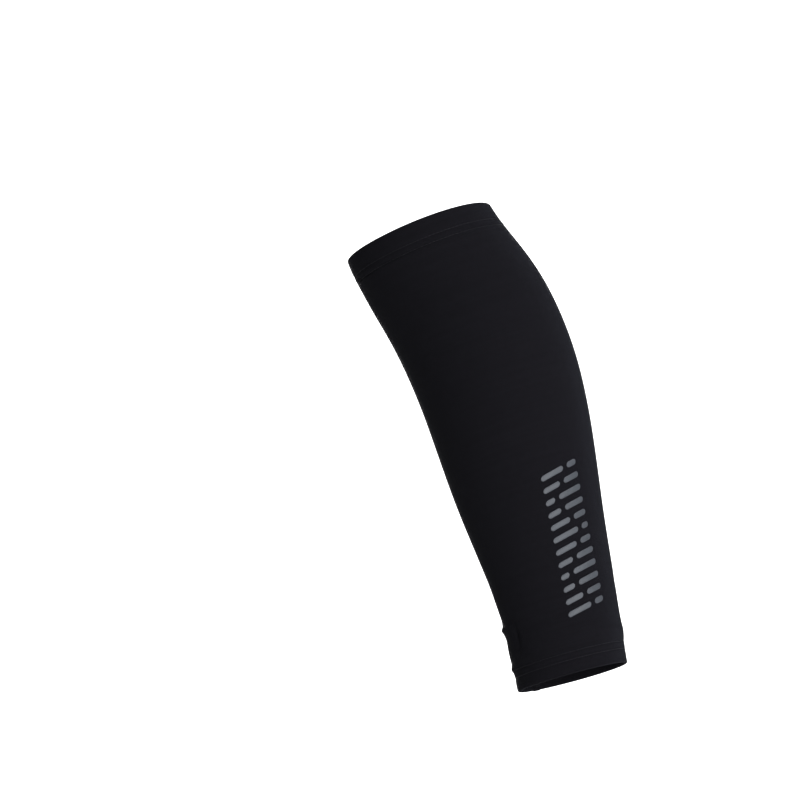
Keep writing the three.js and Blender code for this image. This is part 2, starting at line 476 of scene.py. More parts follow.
def fold_stops(join, edge):
    """Stops round a hem's turned edge, from the outer face to the inner one. Each also says
    which way is away from the cloth, as its parts up the leg and outwards."""
    side = math.copysign(1, edge - join)
    stops = []
    for swing in np.linspace(0, math.pi, FOLD_STEPS + 1):
        up, out = side * math.sin(swing), math.cos(swing)
        level = edge - side * FOLD_RADIUS + FOLD_RADIUS * up
        stops.append((level, FOLD_RADIUS * (out - 1), up, out))
    return stops


def hem_section(node, join, edge):
    """Stops from the join over the outer face, round the fold and back inside to the join."""
    turned = [stop[:2] for stop in fold_stops(join, edge)]
    fold = turned[0][0]
    outer = [(level, 0) for level in np.linspace(join, fold, HEM_ROWS)]
    inner = []
    for level in np.linspace(fold, join, INNER_ROWS):
        squeeze = SEWN_SQUEEZE * near_rows(node, level, STITCH_DIP_SPREAD)
        inner.append((level, -HEM_THICKNESS + squeeze))
    stops = outer + turned[1:-1] + inner
    return stops if edge > join else stops[::-1]


def stitch_dimples(node):
    """How each stitch of a hem pulls the outer face in, where its thread enters the cloth."""
    def dimples(turns, stop_levels):
        pull = 0.5 + 0.5 * np.cos(FULL_TURN * STITCHES_ROUND[node] * turns)
        return -DIMPLE * pull * near_rows(node, stop_levels, DIMPLE_SPREAD)
    return dimples


hem_ends = {"top_hem": (KNEE_LINE, KNEE_EDGE), "bottom_hem": (ANKLE_LINE, ANKLE_EDGE)}
hems = {
    node: shell(f"sleeve_{node}", hem_section(node, *ends), HEM_COLUMNS, stitch_dimples(node))
    for node, ends in hem_ends.items()
}

# %% [markdown]
# ## The flat seam's place
# The knit is cut flat, so one flat seam closes the tube: two edges meet without a ridge and
# threads cover them, which keeps it from rubbing. It runs up the outer front of the leg. The
# CAD strip says exactly where, so a smooth line is laid through its corners.

# %% Seam line
SEAM_DEGREE = 4

seam_corners = corners_of("flat_seam")
seam_levels = level_of(seam_corners)
seam_x, seam_y, _ = seam_corners.T
seam_angles = np.arctan2(seam_y - CENTRE_Y(seam_levels), seam_x - CENTRE_X(seam_levels))
SEAM_TURN = np.polynomial.Polynomial.fit(seam_levels, seam_angles / FULL_TURN, SEAM_DEGREE)
SEAM_HALF_WIDTH = 3.0 * MM


def turn_beside(turn, level, across):
    """The turn that lies a distance across from another, round the leg."""
    turn, level, across = np.broadcast_arrays(turn, level, across)
    return turn + across / (FULL_TURN * radius_at(turn, level))


print(f"seam at {SEAM_TURN(ANKLE_EDGE):.3f} of a turn at the ankle,",
      f"{SEAM_TURN(KNEE_EDGE):.3f} at the knee")

# %% [markdown]
# ## The seam's path
# The seam is sewn before the hems are turned, so it runs up the outside, over the knee edge,
# down the inside and back under the ankle edge: one closed ring. Like a fold's stops, each stop
# of the path also says which way is away from the cloth, and a strip or a thread that is
# lifted off the cloth moves that way.

# %% Seam path
SEAM_STEP = 1.0 * MM
INSIDE_RAMP = 2.0 * MM


def face_path(start, end, outside):
    """Stops of the path along the outer or the inner face, from one level to the other."""
    count = round(abs(end - start) / SEAM_STEP)
    stops = []
    for level in np.linspace(start, end, count + 1)[1:-1]:
        if outside:
            stops.append((level, 0, 0, 1))
            continue
        into_hem = max(level - KNEE_LINE, ANKLE_LINE - level)
        share = float(smooth_step(into_hem / INSIDE_RAMP + 0.5))
        stops.append((level, -KNIT_THICKNESS + (KNIT_THICKNESS - HEM_THICKNESS) * share, 0, -1))
    return stops


low_turn, high_turn = ANKLE_EDGE + FOLD_RADIUS, KNEE_EDGE - FOLD_RADIUS
outside_path = face_path(low_turn, high_turn, True)
inside_path = face_path(high_turn, low_turn, False)
over_knee, over_ankle = (fold_stops(*hem_ends[node]) for node in ("top_hem", "bottom_hem"))
SEAM_PATH = np.array(outside_path + over_knee + inside_path + over_ankle[::-1])
print(f"seam path of {len(SEAM_PATH)} stops")


def on_seam(stops, across, lift):
    """Points beside the seam's middle and lifted off the cloth."""
    level, out, up_part, out_part = stops.T
    turn = turn_beside(SEAM_TURN(np.clip(level, ANKLE_EDGE, KNEE_EDGE)), level, across)
    return wall(turn, level + up_part * lift, out + out_part * lift)


# %% [markdown]
# ## The seam's tape of cloth
# Under the threads lie the two edges of the knit, pressed flat, with a shallow groove where
# they meet. They are a closed strip: a low section, swept along the path.

# %% Seam strip
# Half of the section, from the seam's edge to its groove. across is a share of the seam's half
# width, lift a height over the cloth in millimetres.
STRIP_HALF = (
    # across, lift
    (1.00, -0.10),
    (1.00, 0.10),
    (0.92, 0.26),
    (0.70, 0.34),
    (0.30, 0.36),
    (0.10, 0.30),
)
STRIP_GROOVE = (0.00, 0.20)

mirrored = [(-across, lift) for across, lift in STRIP_HALF[::-1]]
STRIP_SECTION = [*STRIP_HALF, STRIP_GROOVE, *mirrored]


def seam_strip():
    across = [share * SEAM_HALF_WIDTH for share, _ in STRIP_SECTION]
    rows = [on_seam(SEAM_PATH, a, lift * MM) for a, (_, lift) in zip(across, STRIP_SECTION)]
    turns = [a / girth_at(0.0) for a in across]
    stops, count = len(SEAM_PATH), len(STRIP_SECTION)
    faces, uvs = [], []
    for stop in range(stops):
        low, high = stop * SEAM_STEP, (stop + 1) * SEAM_STEP
        here, following = stop * count, (stop + 1) % stops * count
        for k in range(count):
            beside = (k + 1) % count
            faces.append([here + k, following + k, following + beside, here + beside])
            left, right = turns[k], turns[beside]
            uvs.append([(left, low), (left, high), (right, high), (right, low)])
    print(f"seam strip: {2 * len(faces)} triangles")
    return new_piece("sleeve_flat_seam", np.stack(rows, 1), faces, uvs)


flat_seam = seam_strip()

# %% [markdown]
# ## One stitch, many times: a Geometry Nodes tree
# A needle thread shows as a short arch that rises out of the cloth and dives back into it.
# Geometry Nodes suit this well: one arch is made in the tree and instanced on points that know
# which way the row runs and which way is out. The sizes are the tree's named inputs, and a
# fixed seed turns each stitch a little, as a machine does. Realize Instances makes real faces
# of them, and new_from_object keeps those as a plain mesh.


# %% A maker of node trees
class NodeTree:
    """Adds nodes to a tree. Settings come first, then the sockets' values or links."""

    def __init__(self, tree):
        self.tree = tree
        tree.nodes.clear()

    def add(self, kind, settings=None, sockets=None):
        node = self.tree.nodes.new(kind)
        for name, value in (settings or {}).items():
            setattr(node, name, value)
        for name, value in (sockets or {}).items():
            if isinstance(value, bpy.types.NodeSocket):
                self.tree.links.new(value, node.inputs[name])
            else:
                node.inputs[name].default_value = value
        return node

    def input(self, name, kind):
        self.tree.interface.new_socket(name=name, in_out="INPUT", socket_type=kind)


# %% Starting, ending and running a tree
def geometry_tree(name, inputs):
    """An empty geometry tree with a Geometry input and output, and further named inputs."""
    tree = bpy.data.node_groups.new(name, "GeometryNodeTree")
    maker = NodeTree(tree)
    maker.input("Geometry", "NodeSocketGeometry")
    for socket, kind in inputs.items():
        maker.input(socket, f"NodeSocket{kind}")
    tree.interface.new_socket(name="Geometry", in_out="OUTPUT", socket_type="NodeSocketGeometry")
    return maker, maker.add("NodeGroupInput").outputs


def finish_tree(maker, geometry, material):
    """Ends a tree in smooth, realized faces with a material."""
    real = maker.add("GeometryNodeRealizeInstances", sockets={"Geometry": geometry})
    smooth_faces = maker.add("GeometryNodeSetShadeSmooth", sockets={0: real.outputs[0]})
    sockets = {"Geometry": smooth_faces.outputs[0], "Material": material}
    coloured = maker.add("GeometryNodeSetMaterial", sockets=sockets)
    maker.add("NodeGroupOutput", sockets={0: coloured.outputs[0]})


def run_tree(piece, maker, values):
    """Runs a tree on a piece with the values of its named inputs, and keeps the plain mesh."""
    modifier = piece.modifiers.new(maker.tree.name, "NODES")
    modifier.node_group = maker.tree
    for item in maker.tree.interface.items_tree:
        if item.in_out == "INPUT" and item.name in values:
            modifier[item.identifier] = values[item.name]
    evaluated = piece.evaluated_get(bpy.context.evaluated_depsgraph_get())
    result = bpy.data.meshes.new_from_object(evaluated)
    piece.modifiers.remove(modifier)
    scaffold = piece.data
    piece.data = result
    result.name = piece.name
    bpy.data.meshes.remove(scaffold)
    print(f"{piece.name}: {len(result.vertices)} vertices, {len(result.polygons)} faces")
    return piece


# %% A swept thread
THREAD_SIDES = 5


def swept_thread(maker, curve, radius):
    """A round thread with closed ends along a curve."""
    size = {"Resolution": THREAD_SIDES, "Radius": radius}
    ring = maker.add("GeometryNodeCurvePrimitiveCircle", {"mode": "RADIUS"}, size)
    sockets = {"Curve": curve, "Profile Curve": ring.outputs[0], "Fill Caps": True}
    return maker.add("GeometryNodeCurveToMesh", sockets=sockets).outputs[0]


# %% The stitch tree
STITCH_INPUTS = {
    "Length": "Float",
    "Thread radius": "Float",
    "Crown": "Float",
    "Sway": "Float",
    "Seed": "Int",
    "Material": "Material",
}
ARCH_STEPS = 5
HANDLE_SHARE = 0.6
ROOT_DEPTH = 2.0


def make_stitch_tree():
    maker, given = geometry_tree("needle_stitches", STITCH_INPUTS)

    def times(value, factor):
        sockets = {0: value, 1: factor}
        return maker.add("ShaderNodeMath", {"operation": "MULTIPLY"}, sockets).outputs[0]

    def vector(**parts):
        return maker.add("ShaderNodeCombineXYZ", sockets=parts).outputs[0]

    def attribute(name):
        settings = {"data_type": "FLOAT_VECTOR"}
        return maker.add("GeometryNodeInputNamedAttribute", settings, {"Name": name}).outputs[0]

    half = times(given["Length"], 0.5)
    handle = times(half, HANDLE_SHARE)
    root = times(given["Thread radius"], -ROOT_DEPTH)
    arch = maker.add(
        "GeometryNodeCurvePrimitiveBezierSegment",
        {"mode": "POSITION"},
        {
            "Resolution": ARCH_STEPS,
            "Start": vector(X=times(half, -1.0), Z=root),
            "Start Handle": vector(X=times(handle, -1.0), Z=given["Crown"]),
            "End Handle": vector(X=handle, Z=given["Crown"]),
            "End": vector(X=half, Z=root),
        },
    )
    turn = maker.add(
        "FunctionNodeAxesToRotation",
        {"primary_axis": "Z", "secondary_axis": "X"},
        {"Primary Axis": attribute("out"), "Secondary Axis": attribute("along")},
    )
    sway = maker.add(
        "FunctionNodeRandomValue",
        {"data_type": "FLOAT"},
        {"Min": times(given["Sway"], -1.0), "Max": given["Sway"], "Seed": given["Seed"]},
    )
    sway_value = next(o for o in sway.outputs if o.enabled)
    sway_turn = maker.add("FunctionNodeEulerToRotation", sockets={0: vector(Z=sway_value)})
    swayed = maker.add(
        "FunctionNodeRotateRotation",
        {"rotation_space": "LOCAL"},
        {"Rotation": turn.outputs[0], "Rotate By": sway_turn.outputs[0]},
    )
    stitches = maker.add(
        "GeometryNodeInstanceOnPoints",
        sockets={
            "Points": given["Geometry"],
            "Instance": swept_thread(maker, arch.outputs[0], given["Thread radius"]),
            "Rotation": swayed.outputs[0],
        },
    )
    finish_tree(maker, stitches.outputs[0], given["Material"])
    return maker


stitch_tree = make_stitch_tree()
print("stitch tree inputs:", list(STITCH_INPUTS))

# %% [markdown]
# ## A thread along a path: the second tree
# The looper thread of a hem and the cover threads of a flat seam run on and on in a zigzag.
# Their path is made first, as a chain of edges. The tree turns the chain into a smooth curve
# and gives it a thickness.

# %% The thread tree
THREAD_INPUTS = {"Thread radius": "Float", "Steps": "Int", "Material": "Material"}


def make_thread_tree():
    maker, given = geometry_tree("running_thread", THREAD_INPUTS)
    curve = maker.add("GeometryNodeMeshToCurve", sockets={0: given["Geometry"]})
    kind = {"spline_type": "CATMULL_ROM"}
    bent = maker.add("GeometryNodeCurveSplineType", kind, {"Curve": curve.outputs[0]})
    sockets = {0: bent.outputs[0], "Resolution": given["Steps"]}
    fine = maker.add("GeometryNodeSetSplineResolution", sockets=sockets)
    running = swept_thread(maker, fine.outputs[0], given["Thread radius"])
    finish_tree(maker, running, given["Material"])
    return maker


thread_tree = make_thread_tree()
print("thread tree inputs:", list(THREAD_INPUTS))

# %% [markdown]
# ## Shader maths in plain Python
# A procedural material is mostly arithmetic, and a long chain of Math nodes is hard to read.
# Value wraps a socket, so that a + b or 1 - mask adds the Math node itself. Every other node
# comes from Shader.add, which takes a node's type, its settings and its sockets.


# %% Numbers on a surface
class Value:
    """A number that changes over the surface."""

    def __init__(self, shader, socket):
        self.shader = shader
        self.socket = socket

    def math(self, operation, *others):
        sockets = dict(enumerate((self, *others)))
        return self.shader.add("ShaderNodeMath", {"operation": operation}, sockets)

    def __add__(self, other):
        return self.math("ADD", other)

    def __sub__(self, other):
        return self.math("SUBTRACT", other)

    def __mul__(self, other):
        return self.math("MULTIPLY", other)

    def __truediv__(self, other):
        return self.math("DIVIDE", other)

    def __pow__(self, other):
        return self.math("POWER", other)

    def __rsub__(self, other):
        return (self * -1) + other

    __radd__ = __add__

    def fraction(self):
        return self.math("FRACT")

    def size(self):
        return self.math("ABSOLUTE")

    def cosine(self):
        return self.math("COSINE")

    def clamped(self):
        return self.math("MAXIMUM", 0.0).math("MINIMUM", 1.0)


# %% Nodes of a material
class Shader:
    """The nodes of a material or of the world, under construction."""

    def __init__(self, owner):
        owner.use_nodes = True
        self.owner = owner
        self.maker = NodeTree(owner.node_tree)

    def add(self, kind, settings=None, sockets=None, output=0):
        plain = {
            name: value.socket if isinstance(value, Value) else value
            for name, value in (sockets or {}).items()
        }
        node = self.maker.add(kind, settings, plain)
        return Value(self, node.outputs[output])

    def mix(self, factor, first, second):
        """A colour between two others."""
        return self.add("ShaderNodeMix", {"data_type": "RGBA"}, {0: factor, 6: first, 7: second}, 2)

    def cloth_map(self):
        """Share of a turn and metres along the cloth, from the piece's UV map."""
        place = self.add("ShaderNodeUVMap", {"uv_map": CLOTH_MAP})
        return [self.add("ShaderNodeSeparateXYZ", {}, {0: place}, axis) for axis in "XY"]

    def place(self):
        return self.add("ShaderNodeTexCoord", {}, {}, "Object")

    def noise(self, place, scale, detail=2.0):
        sockets = {"Vector": place, "Scale": scale, "Detail": detail}
        return self.add("ShaderNodeTexNoise", {}, sockets, "Fac")

    def bump(self, height, distance, strength):
        """A normal that follows a height."""
        relief = {"Height": height, "Distance": distance, "Strength": strength}
        return self.add("ShaderNodeBump", {}, relief, "Normal")

    def finish(self, **surface):
        """Ends the material in a Principled BSDF. Names take _ for a space."""
        sockets = {name.replace("_", " "): value for name, value in surface.items()}
        bsdf = self.add("ShaderNodeBsdfPrincipled", {}, sockets, "BSDF")
        self.maker.add("ShaderNodeOutputMaterial", sockets={"Surface": bsdf.socket})
        return self.owner


# %% [markdown]
# ## The knit
# The cloth is a fine jersey. Each column of stitches, a wale, is a chain of small Vs, so the
# pattern is built from the UV map: the distance from the middle of the wale leans the courses
# into Vs, and a groove parts one wale from the next. As many wales go round the ankle as the
# calf, so there they stand closer together, as in the real cloth. The base colour is painted
# lighter on the tops of the loops and darker between them: a painted sheen and painted shade
# that follow the knit's relief. Faint bars follow the courses, because elastic yarn never takes
# the dye quite evenly, and the sheen is the soft light that short fibres catch at a low angle.

# %% Knit material
WALES_ROUND = 640
COURSE = 0.46 * MM
V_LEAN = 0.75
YARN_POWER = 0.6
GROOVE_POWER = 4
CENTRE_POWER = 6
CENTRE_DEPTH = 0.5
KNIT_BUMP = 0.15 * MM
KNIT_BUMP_STRENGTH = 0.7
BAR_WIDTH = 0.5
BAR_HEIGHT = 1.7 * MM
FIBRE_SCALE = 2600.0
FIBRE_HEIGHT = 0.25
# Painted sheen and shade: how much lighter the loop tops are painted than the gaps between loops
LOOP_PAINTED_SHADE = 0.55
BAR_TONE = 0.24
BASE_TONE = 0.03
KNIT_DARK = (0.0022, 0.0021, 0.0029, 1)
KNIT_LIGHT = (0.0109, 0.0105, 0.0135, 1)
KNIT_ROUGHNESS = 0.78
FIBRE_ROUGHNESS = 0.1


def loops_of(shader, around, along):
    """Height of the knitted loops, from 0 between them to 1 on top of their Vs."""
    across = ((around * WALES_ROUND).fraction() - 0.5).size() * 2
    course = along / COURSE + across * V_LEAN
    yarn = (course * FULL_TURN).cosine() * 0.5 + 0.5
    groove = 1 - across ** GROOVE_POWER
    centre_groove = 1 - (1 - across) ** CENTRE_POWER * CENTRE_DEPTH
    return yarn ** YARN_POWER * groove * centre_groove


def knit_material():
    shader = Shader(bpy.data.materials.new("black_stretch_knit"))
    around, along = shader.cloth_map()
    loops = loops_of(shader, around, along)
    bar_place = {"X": around / BAR_WIDTH, "Y": along / BAR_HEIGHT}
    bars = shader.noise(shader.add("ShaderNodeCombineXYZ", {}, bar_place), 1.0)
    fibres = shader.noise(shader.place(), FIBRE_SCALE)
    # Loop tops painted lighter and the gaps between loops painted darker, a painted sheen and painted
    # shade; the bars are uneven dye
    painted_shade_and_dye = (loops * LOOP_PAINTED_SHADE + bars * BAR_TONE + BASE_TONE).clamped()
    return shader.finish(
        Base_Color=shader.mix(painted_shade_and_dye, KNIT_DARK, KNIT_LIGHT),
        Roughness=KNIT_ROUGHNESS + fibres * FIBRE_ROUGHNESS,
        Specular_IOR_Level=0.05,
        Sheen_Weight=0.02,
        Sheen_Roughness=0.45,
        Sheen_Tint=(0.75, 0.8, 1.0, 1.0),
        Normal=shader.bump(loops + fibres * FIBRE_HEIGHT, KNIT_BUMP, KNIT_BUMP_STRENGTH),
    )


knit = knit_material()

# %% [markdown]
# ## Thread and print
# Sewing thread is twisted from filaments and catches a little more light than the knit. The
# print is a thin film of grey-blue ink on top of the cloth, so it is flatter, and the loops
# under it show through as fine pits and thin spots.


# %% Thread material
FILAMENT_SCALE = 5200.0
FILAMENT_BUMP = 0.05 * MM
FILAMENT_BUMP_STRENGTH = 0.6
THREAD_DARK = (0.0036, 0.0035, 0.0046, 1)
THREAD_LIGHT = (0.0140, 0.0137, 0.0172, 1)


def thread_material():
    shader = Shader(bpy.data.materials.new("black_sewing_thread"))
    filaments = shader.noise(shader.place(), FILAMENT_SCALE)
    return shader.finish(
        Base_Color=shader.mix(filaments, THREAD_DARK, THREAD_LIGHT),
        Roughness=0.42 + filaments * 0.16,
        Specular_IOR_Level=0.14,
        Sheen_Weight=0.05,
        Sheen_Roughness=0.4,
        Normal=shader.bump(filaments, FILAMENT_BUMP, FILAMENT_BUMP_STRENGTH),
    )


thread = thread_material()

# %% Print material
WEAR_SCALE = 900.0
WEAR_DETAIL = 3.0
WEAR_START = 0.60
WEAR_STEEPNESS = 7
PATCH_SCALE = 160.0
PATCH_WEAR = 0.8
THINNEST = 0.55
INK_BUMP = 0.05 * MM
INK_BUMP_STRENGTH = 0.5
LOOPS_SHARE = 0.6
INK_DARK = (0.0275, 0.030, 0.0345, 1)
INK_LIGHT = (0.038, 0.0415, 0.048, 1)
CLOTH_UNDER_INK = (0.014, 0.015, 0.019, 1)


def print_material():
    shader = Shader(bpy.data.materials.new("grey_blue_print"))
    loops = loops_of(shader, *shader.cloth_map())
    wear = shader.noise(shader.place(), WEAR_SCALE, WEAR_DETAIL)
    patches = shader.noise(shader.place(), PATCH_SCALE)
    thin = ((wear - WEAR_START) * WEAR_STEEPNESS + (patches - 0.5) * PATCH_WEAR).clamped()
    ink = shader.mix(patches, INK_DARK, INK_LIGHT)
    height = loops * LOOPS_SHARE + wear * (1 - LOOPS_SHARE)
    return shader.finish(
        Base_Color=shader.mix(thin * THINNEST, ink, CLOTH_UNDER_INK),
        Roughness=0.50 + patches * 0.15,
        Specular_IOR_Level=0.25,
        Normal=shader.bump(height, INK_BUMP, INK_BUMP_STRENGTH),
    )


print_ink = print_material()
print("materials:", [m.name for m in (knit, thread, print_ink)])

# %% Dress the cloth
cloth_pieces = (sleeve_body, *hems.values(), flat_seam)
for piece in cloth_pieces:
    piece.data.materials.append(knit)

# %% [markdown]
# ## Hem stitches
# A cover stitch holds each hem: two straight rows of needle thread outside, five millimetres
# apart. Each point of a row keeps its directions along the row and out of the cloth as
# attributes, which the stitch tree reads. Where a row meets the flat seam it climbs over it.

# %% Rows of needle thread
THREAD_RADIUS = 0.17 * MM
STITCH_COVER = 0.86
STITCH_CROWN = 0.24 * MM
STITCH_SWAY = math.radians(3.0)
SEAM_CLIMB = 0.42 * MM
CLIMB_REACH = 1.25
CLIMB_RAMP = 0.3
HEM_SEEDS = {"top_hem": 3, "bottom_hem": 5}


def over_seam(turn, level):
    """How far a thread is lifted where it crosses the flat seam."""
    beside = np.abs((turn - SEAM_TURN(level)) * FULL_TURN * radius_at(turn, level))
    inside = SEAM_HALF_WIDTH * CLIMB_REACH - beside
    return SEAM_CLIMB * smooth_step(inside / (SEAM_HALF_WIDTH * CLIMB_RAMP))


def sew(name, rows, pitch, radius, seed):
    """Stitches on rows of points. A row is its points, their directions along it and out."""
    points, along, out = (np.vstack(arrays) for arrays in zip(*rows))
    mesh = bpy.data.meshes.new(name)
    mesh.from_pydata(points.tolist(), [], [])
    for key, vectors in (("along", along), ("out", out)):
        layer = mesh.attributes.new(key, "FLOAT_VECTOR", "POINT")
        layer.data.foreach_set("vector", vectors.astype(np.float32).ravel())
    values = {
        "Length": pitch * STITCH_COVER,
        "Thread radius": radius,
        "Crown": STITCH_CROWN,
        "Sway": STITCH_SWAY,
        "Seed": seed,
        "Material": thread,
    }
    return run_tree(add_object(name, mesh), stitch_tree, values)


def hem_stitches(node, seed):
    count = STITCHES_ROUND[node]
    turns = (np.arange(count) + 0.5) / count
    rows = []
    for row in NEEDLE_ROWS[node]:
        level = np.full(count, row)
        points = wall(turns, level, over_seam(turns, level))
        rows.append((points, round_the_leg(turns, level), outwards(turns, level)))
    pitch = girth_at(NEEDLE_ROWS[node][0]) / count
    print(f"{node}: {2 * count} stitches, {pitch / MM:.2f} mm each")
    return sew(f"{node}_stitches", rows, pitch, THREAD_RADIUS, seed)


hem_threads = [hem_stitches(node, seed) for node, seed in HEM_SEEDS.items()]

# %% [markdown]
# ## Looper threads inside the hems
# On the inside a cover stitch shows its looper thread, which zigzags between the needle rows
# and covers the raw edge of the turned cloth. It can be seen through the openings.

# %% Loopers
LOOPER_RADIUS = 0.15 * MM
LOOPER_LIFT = 0.6
LOOPER_STEPS = 3


def run_threads(name, chains, radius, steps):
    """Threads along chains of points. A chain closes where its flag says so."""
    points, edges = [], []
    for chain, closed in chains:
        first = len(points)
        points.extend(chain.tolist())
        edges.extend((first + k, first + k + 1) for k in range(len(chain) - 1))
        if closed:
            edges.append((first + len(chain) - 1, first))
    mesh = bpy.data.meshes.new(name)
    mesh.from_pydata(points, edges, [])
    values = {"Thread radius": radius, "Steps": steps, "Material": thread}
    return run_tree(add_object(name, mesh), thread_tree, values)


def looper_chain(node, shift):
    """A zigzag between the two needle rows, on the inner face of a hem."""
    count = STITCHES_ROUND[node]
    zigzag = np.arange(2 * count)
    turns = (zigzag / 2 + shift) / count
    level = np.where(zigzag % 2 == 0, *NEEDLE_ROWS[node])
    inset = HEM_THICKNESS - SEWN_SQUEEZE + LOOPER_RADIUS * LOOPER_LIFT
    return wall(turns, level, -inset), True


looper_chains = [looper_chain(node, shift) for node in NEEDLE_ROWS for shift in (0.0, 0.5)]
loopers = run_threads("hem_looper_threads", looper_chains, LOOPER_RADIUS, LOOPER_STEPS)

# %% [markdown]
# ## Threads of the flat seam
# Four needle rows run along the seam, and cover threads cross between them in a narrow
# lattice, which is what makes a flat seam look like a ribbon. The needle stitches come from
# the stitch tree and the lattice from the thread tree, both on the path that the strip follows.

# %% Seam threads
SEAM_PITCH = 2.3 * MM
SEAM_NEEDLES = (-0.78, -0.27, 0.27, 0.78)
SEAM_THREAD_RADIUS = 0.15 * MM
SEAM_TOP = 0.36 * MM
SEAM_SEED = 9
COVER_RADIUS = SEAM_THREAD_RADIUS * 0.85
COVER_STEPS = 2
WIDE_COVER = 0.86
NARROW_COVER = 0.30


def seam_needle_rows():
    count = int((high_turn - low_turn) / SEAM_PITCH)
    level = low_turn + (np.arange(count) + 0.5) * (high_turn - low_turn) / count
    rows = []
    for share in SEAM_NEEDLES:
        turn = turn_beside(SEAM_TURN(level), level, share * SEAM_HALF_WIDTH)
        points = wall(turn, level, SEAM_TOP)
        rows.append((points, up_the_leg(turn, level), outwards(turn, level)))
    return rows


def cover_chain(reach, start, face):
    """A zigzag across the seam on its outer or inner face, starting on one side or the other."""
    low, high = face[:, 0].min(), face[:, 0].max()
    count = int((high - low) / SEAM_PITCH * 2)
    wanted = np.linspace(low, high, count + 1)
    order = np.argsort(face[:, 0])
    stops = np.stack([np.interp(wanted, face[order, 0], face[order, k]) for k in range(4)], -1)
    side = np.where(np.arange(count + 1) % 2 == 0, start, -start)
    return on_seam(stops, side * reach * SEAM_HALF_WIDTH, SEAM_TOP), False


seam_faces = (np.array(outside_path), np.array(inside_path))
covers = [cover_chain(WIDE_COVER, start, face) for face in seam_faces for start in (1, -1)]
covers += [cover_chain(NARROW_COVER, start, seam_faces[0]) for start in (1, -1)]
seam_needles = sew(
    "seam_needle_threads", seam_needle_rows(), SEAM_PITCH, SEAM_THREAD_RADIUS, SEAM_SEED
)
seam_covers = run_threads("seam_cover_threads", covers, COVER_RADIUS, COVER_STEPS)

# %% [markdown]
# ## The print
# A ribbon of slanted dashes stands on the inner side of the calf, towards the back. A decal
# texture would be the usual way, but ink has a thickness and follows the wall, so each dash
# is a very thin closed shell: a grid with rounded ends that leans as it goes across. A short
# table says where the gap between a row's two dashes falls, from the ankle up.

# %% Print layout
PRINT_LOW = 37 * MM
PRINT_HIGH = 136 * MM
PRINT_TURN = -0.168
PRINT_WIDTH = 28 * MM
DASH_HEIGHT = 3.9 * MM
DASH_SLANT = 6.5 * MM
DASH_GAP = 0.11
INK_TOP = 0.10 * MM
INK_FOOT = 0.01 * MM
DASH_STEPS = 30
DASH_RISES = 6
BLUNT_END = 0.02

# Middle of each row's gap, as a share of the width from the side towards the shin
GAPS = (0.68, 0.52, 0.36, 0.28, 0.44, 0.62, 0.74, 0.58, 0.40, 0.30, 0.50, 0.66)


def dash_grid(start, end, base):
    """Places of one dash's points: across the print, and up the leg."""
    length = (end - start) * PRINT_WIDTH
    across = np.sin(np.linspace(-1, 1, DASH_STEPS) * math.pi / 2)[:, None]
    rise = np.linspace(-1, 1, DASH_RISES)[None, :]
    straight = 1 - DASH_HEIGHT / length
    beyond = np.clip((np.abs(across) - straight) / (1 - straight), 0, 1)
    half = DASH_HEIGHT / 2 * np.sqrt(np.clip(1 - beyond ** 2, BLUNT_END, 1))
    x = ((start + end) / 2 - 0.5) * PRINT_WIDTH + across * length / 2 + 0 * rise
    return x, base + rise * half + DASH_SLANT * x / PRINT_WIDTH


# %% Shells of the dashes
def add_dash(points, faces, uvs, turn, up):
    """A thin closed shell: a grid on top, one under it that faces the cloth, and their rims."""
    index = np.arange(turn.size).reshape(turn.shape)
    corners = [index[:-1, :-1], index[1:, :-1], index[1:, 1:], index[:-1, 1:]]
    quads = np.stack(corners, -1).reshape(-1, 4)
    places = np.stack([turn, up], -1).reshape(-1, 2)
    top, foot = len(points), len(points) + turn.size
    for first, out, grid in ((top, INK_TOP, quads), (foot, INK_FOOT, quads[:, ::-1])):
        points.extend(wall(turn, up, out).reshape(-1, 3).tolist())
        faces.extend((first + grid).tolist())
        uvs.extend(places[grid].tolist())
    sides = [index[:, 0], index[-1, 1:], index[-2::-1, -1], index[0, -2:0:-1]]
    rim = np.concatenate(sides).tolist()
    for here, beside in zip(rim, rim[1:] + rim[:1]):
        faces.append([top + here, foot + here, foot + beside, top + beside])
        uvs.append([(0.0, 0.0)] * 4)


def make_print():
    points, faces, uvs = [], [], []
    pitch = (PRINT_HIGH - PRINT_LOW) / len(GAPS)
    for number, gap in enumerate(GAPS):
        base = ANKLE_EDGE + PRINT_LOW + (number + 0.5) * pitch
        for start, end in ((0, gap - DASH_GAP / 2), (gap + DASH_GAP / 2, 1)):
            x, up = dash_grid(start, end, base)
            add_dash(points, faces, uvs, turn_beside(PRINT_TURN, up, x), up)
    return new_piece("calf_print", np.array(points), faces, uvs)


calf_print = make_print()
calf_print.data.materials.append(print_ink)
print(f"print: {2 * len(GAPS)} dashes, {len(calf_print.data.polygons)} faces")

# %% [markdown]
# ## Join the pieces to the frame
# Every piece rides on the frame's one body, and the CAD solids that the pieces stand for are
# hidden.

threads = [*hem_threads, loopers, seam_needles, seam_covers]
trims = [*threads, calf_print]
for piece in (*cloth_pieces, *trims):
    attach(piece, "root")

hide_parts("calf_body")
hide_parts("top_hem")
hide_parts("bottom_hem")
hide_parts("flat_seam")

print("pieces:", [p.name for p in (*cloth_pieces, *trims)])

# %% [markdown]
# ## Floor and light
# The sleeve is held up over a plain pale floor, as a leg holds it. Black cloth shows its form
# by slow changes of brightness alone, so the lamps are large and soft. Two light the
# photographed side from the back of the calf and leave the shin darker, a small one keeps the
# ankle from sinking into black, and two more light the other side. The surround glows most
# overhead, but the camera sees plain white, because a Light Path node tells the camera's rays
# from the ones that carry light.

# %% Floor
FLOOR_DROP = 1.25
FLOOR_HALF = 12.0
FLOOR_GREY = (0.80, 0.80, 0.80, 1)
FLOOR_ROUGHNESS = 0.9

